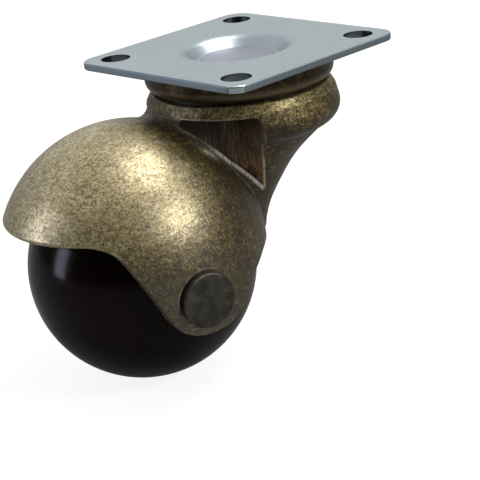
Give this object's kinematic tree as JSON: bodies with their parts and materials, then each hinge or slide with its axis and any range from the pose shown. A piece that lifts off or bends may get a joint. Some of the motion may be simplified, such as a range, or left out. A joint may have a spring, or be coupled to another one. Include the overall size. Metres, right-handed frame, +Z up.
{
  "type": "ball castor",
  "caption": "Hooded ball castor with a square four-hole top plate: it swivels on a ball race and rolls on a round wheel under a cast hood.",
  "frame": {"origin": "centre of the top plate's upper face, on the swivel axis", "axes": "+Z up out of the plate into the furniture, X and Y along the plate's sides; at rest the wheel trails towards -X, turned 13.5 degrees clockwise seen from above"},
  "size_m": [0.082, 0.0617, 0.0674],
  "materials": {
    "zinc_plate": "satin",
    "pin_zinc": "satin",
    "bronze_cap": "satin",
    "race_steel": "satin",
    "ball_steel": "gloss",
    "antique_brass": "satin",
    "spring_steel": "satin",
    "gloss_ball": "gloss",
    "bush_metal": "satin",
    "pewter_rivet": "satin",
    "washer_steel": "satin"
  },
  "bodies": {
    "plate": {"top_plate": "zinc_plate", "king_pin": "pin_zinc", "race_cap": "bronze_cap"},
    "bearing": {"bearing_balls": "ball_steel"},
    "swivel": {"lower_race": "race_steel", "yoke": "antique_brass", "retaining_ring": "spring_steel", "axle_rivet": "pewter_rivet", "left_washer": "washer_steel", "right_washer": "washer_steel"},
    "wheel": {"ball_wheel": "gloss_ball", "axle_bush": "bush_metal"}
  },
  "joints": [
    {"name": "swivel_turn", "type": "hinge", "parent": "plate", "child": "swivel", "pos_m": [0, 0, 0], "axis": [0, 0, 1], "continuous": true},
    {"name": "bearing_orbit", "type": "hinge", "parent": "plate", "child": "bearing", "pos_m": [0, 0, 0], "axis": [0, 0, 1], "continuous": true},
    {"name": "wheel_spin", "type": "hinge", "parent": "swivel", "child": "wheel", "pos_m": [-0.02839, 0.00682, -0.0424], "axis": [0.2334, 0.9724, 0], "continuous": true}
  ],
  "couplings": [
    {"joint": "bearing_orbit", "follows": "swivel_turn", "ratio": 0.5}
  ]
}
